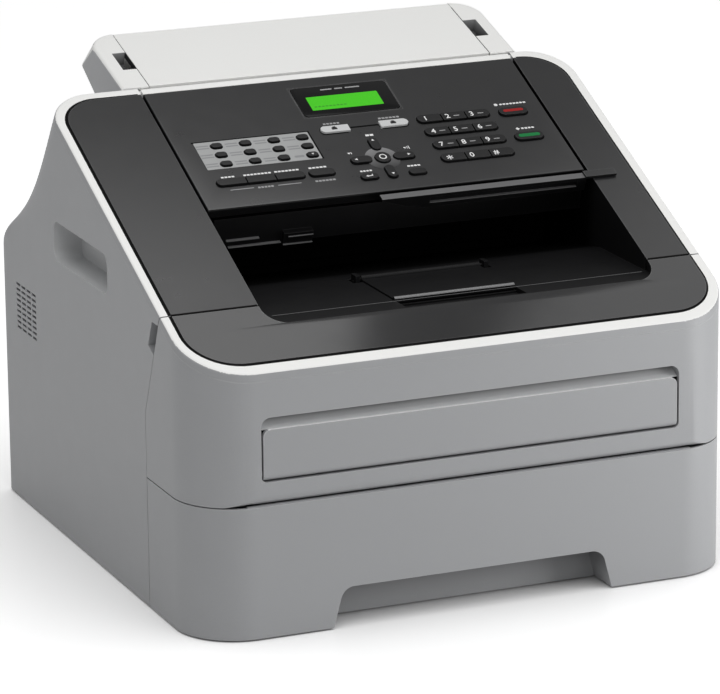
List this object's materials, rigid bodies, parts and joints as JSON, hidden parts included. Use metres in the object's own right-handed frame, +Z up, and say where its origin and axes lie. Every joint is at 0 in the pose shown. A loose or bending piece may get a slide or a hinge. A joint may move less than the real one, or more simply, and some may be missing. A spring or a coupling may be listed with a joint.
{
  "type": "fax machine",
  "caption": "Desktop laser fax machine with a sloping key panel, a paper drawer below, an output well on top and a folding document tray at the rear.",
  "frame": {"origin": "middle of the base on the floor, under the middle of the overall box", "axes": "+X to the right seen from the front, +Y to the rear, +Z up"},
  "size_m": [0.368, 0.36, 0.312],
  "materials": {
    "grey_shell": "fine grained",
    "pale_trim": "satin",
    "dark_top": "satin",
    "frame_plastic": "moulded",
    "key_black": "satin",
    "key_grey": "satin",
    "key_red": "satin",
    "key_green": "satin",
    "lens": "polished",
    "rubber": "matt",
    "metal": "brushed",
    "board": "coated",
    "gear": "natural",
    "drum": "polished"
  },
  "bodies": {
    "main_unit": {"base_frame": "frame_plastic", "left_cover": "grey_shell", "right_cover": "grey_shell", "rear_panel": "grey_shell", "rim": "pale_trim", "top_cover": "dark_top", "feet": "rubber", "screws": "metal", "main_motor": "metal", "drum_unit": "frame_plastic", "toner_cartridge": "frame_plastic", "laser_unit": "frame_plastic", "fuser_frame": "frame_plastic", "main_board": "board", "power_supply": "board", "speaker": "frame_plastic", "rear_sockets": "frame_plastic", "side_frames": "metal", "scanner_frame": "dark_top", "image_sensor": "frame_plastic", "document_tray": "pale_trim"},
    "front_cover": {"front_cover": "grey_shell", "front_rim": "pale_trim", "front_top": "dark_top"},
    "manual_feed_cover": {"manual_feed_cover": "grey_shell"},
    "paper_tray": {"paper_tray": "grey_shell"},
    "lift_plate": {"lift_plate": "metal"},
    "paper_guide_left": {"paper_guide_left": "frame_plastic"},
    "paper_guide_right": {"paper_guide_right": "frame_plastic"},
    "length_guide": {"length_guide": "frame_plastic"},
    "control_panel": {"control_panel": "dark_top", "panel_strip": "pale_trim", "control_board": "board", "display_lens": "lens"},
    "document_flap": {"document_flap": "pale_trim"},
    "document_guide_left": {"document_guide_left": "frame_plastic"},
    "document_guide_right": {"document_guide_right": "frame_plastic"},
    "document_support": {"document_support": "dark_top"},
    "output_flap": {"output_flap": "dark_top"},
    "rear_cover": {"rear_cover": "grey_shell"},
    "photo_drum": {"photo_drum": "drum"},
    "motor_pinion": {"motor_pinion": "gear"},
    "heat_roller": {"heat_roller": "metal"},
    "pressure_roller": {"pressure_roller": "rubber"},
    "pickup_roller": {"pickup_roller": "rubber"},
    "document_roller": {"document_roller": "rubber"},
    "number_keys_row_1": {"number_keys_row_1": "key_black"},
    "number_keys_row_2": {"number_keys_row_2": "key_black"},
    "number_keys_row_3": {"number_keys_row_3": "key_black"},
    "number_keys_row_4": {"number_keys_row_4": "key_black"},
    "one_touch_keys": {"one_touch_keys": "key_black"},
    "function_keys": {"function_keys": "key_black"},
    "cursor_keys": {"cursor_keys": "key_black"},
    "ok_key": {"ok_key": "key_black"},
    "clear_key": {"clear_key": "key_black"},
    "menu_key": {"menu_key": "key_black"},
    "fax_key": {"fax_key": "key_grey"},
    "copy_key": {"copy_key": "key_grey"},
    "stop_key": {"stop_key": "key_red"},
    "start_key": {"start_key": "key_green"}
  },
  "joints": [
    {"name": "front_cover_hinge", "type": "hinge", "parent": "main_unit", "child": "front_cover", "pos_m": [0, -0.1736, 0.0925], "axis": [1, 0, 0], "range_deg": [0, 88]},
    {"name": "manual_feed_hinge", "type": "hinge", "parent": "front_cover", "child": "manual_feed_cover", "pos_m": [0, -0.176, 0.1052], "axis": [1, 0, 0], "range_deg": [0, 70]},
    {"name": "paper_tray_slide", "type": "slide", "parent": "main_unit", "child": "paper_tray", "axis": [0, -1, 0], "range_m": [0, 0.2]},
    {"name": "lift_plate_hinge", "type": "hinge", "parent": "paper_tray", "child": "lift_plate", "pos_m": [0, 0.002, 0.0082], "axis": [-1, 0, 0], "range_deg": [0, 10]},
    {"name": "paper_guide_slide", "type": "slide", "parent": "paper_tray", "child": "paper_guide_left", "axis": [1, 0, 0], "range_m": [0, 0.034]},
    {"name": "paper_guide_follow", "type": "slide", "parent": "paper_tray", "child": "paper_guide_right", "axis": [-1, 0, 0], "range_m": [0, 0.034]},
    {"name": "length_guide_slide", "type": "slide", "parent": "paper_tray", "child": "length_guide", "axis": [0, -1, 0], "range_m": [0, 0.06]},
    {"name": "control_panel_hinge", "type": "hinge", "parent": "main_unit", "child": "control_panel", "pos_m": [0, 0.08458, 0.28675], "axis": [-1, 0, 0], "range_deg": [0, 50]},
    {"name": "document_flap_hinge", "type": "hinge", "parent": "main_unit", "child": "document_flap", "pos_m": [0, 0.15544, 0.3088], "axis": [-1, 0, 0], "range_deg": [0, 145]},
    {"name": "document_guide_slide", "type": "slide", "parent": "main_unit", "child": "document_guide_left", "axis": [1, 0, 0], "range_m": [0, 0.03]},
    {"name": "document_guide_follow", "type": "slide", "parent": "main_unit", "child": "document_guide_right", "axis": [-1, 0, 0], "range_m": [0, 0.03]},
    {"name": "document_support_slide", "type": "slide", "parent": "main_unit", "child": "document_support", "axis": [0, -0.9107, -0.4131], "range_m": [0, 0.04]},
    {"name": "output_flap_hinge", "type": "hinge", "parent": "main_unit", "child": "output_flap", "pos_m": [0, -0.0656, 0.18831], "axis": [-1, 0, 0], "range_deg": [0, 40]},
    {"name": "rear_cover_hinge", "type": "hinge", "parent": "main_unit", "child": "rear_cover", "pos_m": [0, 0.176, 0.084], "axis": [-1, 0, 0], "range_deg": [0, 85]},
    {"name": "photo_drum_spin", "type": "hinge", "parent": "main_unit", "child": "photo_drum", "pos_m": [0, 0.015, 0.092], "axis": [1, 0, 0], "continuous": true},
    {"name": "motor_spin", "type": "hinge", "parent": "main_unit", "child": "motor_pinion", "pos_m": [0, 0.03934, 0.10605], "axis": [1, 0, 0], "continuous": true},
    {"name": "heat_roller_spin", "type": "hinge", "parent": "main_unit", "child": "heat_roller", "pos_m": [0, 0.121, 0.114], "axis": [1, 0, 0], "continuous": true},
    {"name": "pressure_roller_spin", "type": "hinge", "parent": "main_unit", "child": "pressure_roller", "pos_m": [0, 0.121, 0.0885], "axis": [1, 0, 0], "continuous": true},
    {"name": "pickup_roller_spin", "type": "hinge", "parent": "main_unit", "child": "pickup_roller", "pos_m": [0, -0.052, 0.074], "axis": [1, 0, 0], "continuous": true},
    {"name": "document_roller_spin", "type": "hinge", "parent": "main_unit", "child": "document_roller", "pos_m": [0, 0.0713, 0.25767], "axis": [1, 0, 0], "continuous": true},
    {"name": "number_keys_row_1_press", "type": "slide", "parent": "control_panel", "child": "number_keys_row_1", "axis": [0, 0.4131, -0.9107], "range_m": [0, 0.0008], "stiffness_N_per_m": 300},
    {"name": "number_keys_row_2_press", "type": "slide", "parent": "control_panel", "child": "number_keys_row_2", "axis": [0, 0.4131, -0.9107], "range_m": [0, 0.0008], "stiffness_N_per_m": 300},
    {"name": "number_keys_row_3_press", "type": "slide", "parent": "control_panel", "child": "number_keys_row_3", "axis": [0, 0.4131, -0.9107], "range_m": [0, 0.0008], "stiffness_N_per_m": 300},
    {"name": "number_keys_row_4_press", "type": "slide", "parent": "control_panel", "child": "number_keys_row_4", "axis": [0, 0.4131, -0.9107], "range_m": [0, 0.0008], "stiffness_N_per_m": 300},
    {"name": "one_touch_keys_press", "type": "slide", "parent": "control_panel", "child": "one_touch_keys", "axis": [0, 0.4131, -0.9107], "range_m": [0, 0.0008], "stiffness_N_per_m": 300},
    {"name": "function_keys_press", "type": "slide", "parent": "control_panel", "child": "function_keys", "axis": [0, 0.4131, -0.9107], "range_m": [0, 0.0008], "stiffness_N_per_m": 300},
    {"name": "cursor_keys_press", "type": "slide", "parent": "control_panel", "child": "cursor_keys", "axis": [0, 0.4131, -0.9107], "range_m": [0, 0.0008], "stiffness_N_per_m": 300},
    {"name": "ok_key_press", "type": "slide", "parent": "control_panel", "child": "ok_key", "axis": [0, 0.4131, -0.9107], "range_m": [0, 0.0008], "stiffness_N_per_m": 300},
    {"name": "clear_key_press", "type": "slide", "parent": "control_panel", "child": "clear_key", "axis": [0, 0.4131, -0.9107], "range_m": [0, 0.0008], "stiffness_N_per_m": 300},
    {"name": "menu_key_press", "type": "slide", "parent": "control_panel", "child": "menu_key", "axis": [0, 0.4131, -0.9107], "range_m": [0, 0.0008], "stiffness_N_per_m": 300},
    {"name": "fax_key_press", "type": "slide", "parent": "control_panel", "child": "fax_key", "axis": [0, 0.4131, -0.9107], "range_m": [0, 0.0008], "stiffness_N_per_m": 300},
    {"name": "copy_key_press", "type": "slide", "parent": "control_panel", "child": "copy_key", "axis": [0, 0.4131, -0.9107], "range_m": [0, 0.0008], "stiffness_N_per_m": 300},
    {"name": "stop_key_press", "type": "slide", "parent": "control_panel", "child": "stop_key", "axis": [0, 0.4131, -0.9107], "range_m": [0, 0.0008], "stiffness_N_per_m": 300},
    {"name": "start_key_press", "type": "slide", "parent": "control_panel", "child": "start_key", "axis": [0, 0.4131, -0.9107], "range_m": [0, 0.0008], "stiffness_N_per_m": 300}
  ],
  "couplings": [
    {"joint": "paper_guide_follow", "follows": "paper_guide_slide", "ratio": 1},
    {"joint": "document_guide_follow", "follows": "document_guide_slide", "ratio": 1},
    {"joint": "motor_spin", "follows": "photo_drum_spin", "ratio": -2.5},
    {"joint": "pressure_roller_spin", "follows": "heat_roller_spin", "ratio": -1}
  ]
}
